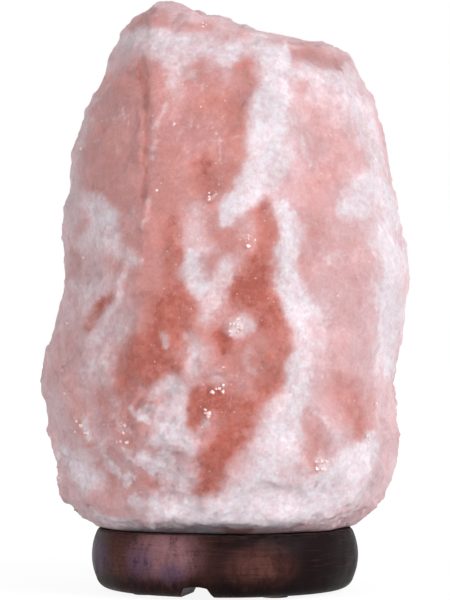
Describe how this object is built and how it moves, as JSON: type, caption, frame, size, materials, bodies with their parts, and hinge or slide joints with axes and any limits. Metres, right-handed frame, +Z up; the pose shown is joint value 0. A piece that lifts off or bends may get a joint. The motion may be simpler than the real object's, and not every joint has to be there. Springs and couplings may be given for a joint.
{
  "type": "salt crystal lamp",
  "caption": "Rough-hewn block of pink rock salt on a round dark wooden base, with a small screw bulb in a spring-held holder inside.",
  "frame": {"origin": "on the axis of the wooden base, level with the bottom of its feet", "axes": "+Z up, -Y the lamp's front as pictured, +X to the viewer's right"},
  "size_m": [0.1396, 0.1192, 0.222],
  "materials": {
    "salt": "satin",
    "wood": "satin",
    "feet_rubber": "matte",
    "zinc_steel": "satin",
    "nylon": "matte",
    "black_moulding": "satin",
    "core_ceramic": "matte",
    "brass": "satin",
    "spring_steel": "satin",
    "clear_glass": "gloss",
    "stem_glass": "gloss",
    "cap_brass": "polished",
    "black_glass": "gloss",
    "solder": "satin",
    "filament_wire": "satin"
  },
  "bodies": {
    "lamp": {"salt_crystal": "salt", "wooden_base": "wood", "base_feet": "feet_rubber", "base_screws": "zinc_steel", "screw_washers": "zinc_steel", "screw_plugs": "nylon"},
    "holder": {"holder_cap": "black_moulding", "holder_sleeve": "black_moulding", "holder_core": "core_ceramic", "screw_shell": "brass", "shell_rivets": "brass", "live_terminal": "brass", "neutral_terminal": "brass", "terminal_screws": "zinc_steel", "clip_collar": "spring_steel", "clip_rivets": "spring_steel"},
    "left_wing": {"left_wing": "spring_steel"},
    "right_wing": {"right_wing": "spring_steel"},
    "tongue": {"contact_tongue": "brass"},
    "bulb_foot": {"bulb_contact": "solder", "bulb_insulator": "black_glass"},
    "bulb": {"bulb_glass": "clear_glass", "bulb_cap": "cap_brass", "bulb_stem": "stem_glass", "bulb_leads": "filament_wire", "bulb_filament": "filament_wire", "filament_support": "filament_wire"}
  },
  "joints": [
    {"name": "holder_withdraw", "type": "slide", "parent": "lamp", "child": "holder", "axis": [0, 0, -1], "range_m": [0, 0.11]},
    {"name": "left_wing_squeeze", "type": "hinge", "parent": "holder", "child": "left_wing", "pos_m": [-0.01435, 0, 0.0161], "axis": [0, 1, 0], "range_deg": [0, 6], "stiffness_Nm_per_rad": 0.5},
    {"name": "right_wing_squeeze", "type": "hinge", "parent": "holder", "child": "right_wing", "pos_m": [0.01435, 0, 0.0161], "axis": [0, -1, 0], "range_deg": [0, 6], "stiffness_Nm_per_rad": 0.5},
    {"name": "tongue_press", "type": "hinge", "parent": "holder", "child": "tongue", "pos_m": [0, 0.004, 0.0342], "axis": [1, 0, 0], "range_deg": [0, 8], "stiffness_Nm_per_rad": 0.05},
    {"name": "bulb_rise", "type": "slide", "parent": "holder", "child": "bulb_foot", "axis": [0, 0, 1], "range_m": [0, 0.01411]},
    {"name": "bulb_turn", "type": "hinge", "parent": "bulb_foot", "child": "bulb", "pos_m": [0, 0, 0.04], "axis": [0, 0, 1], "range_deg": [0, 1800]}
  ],
  "couplings": [
    {"joint": "bulb_rise", "follows": "bulb_turn", "m_per_rad": 0.00044913}
  ]
}
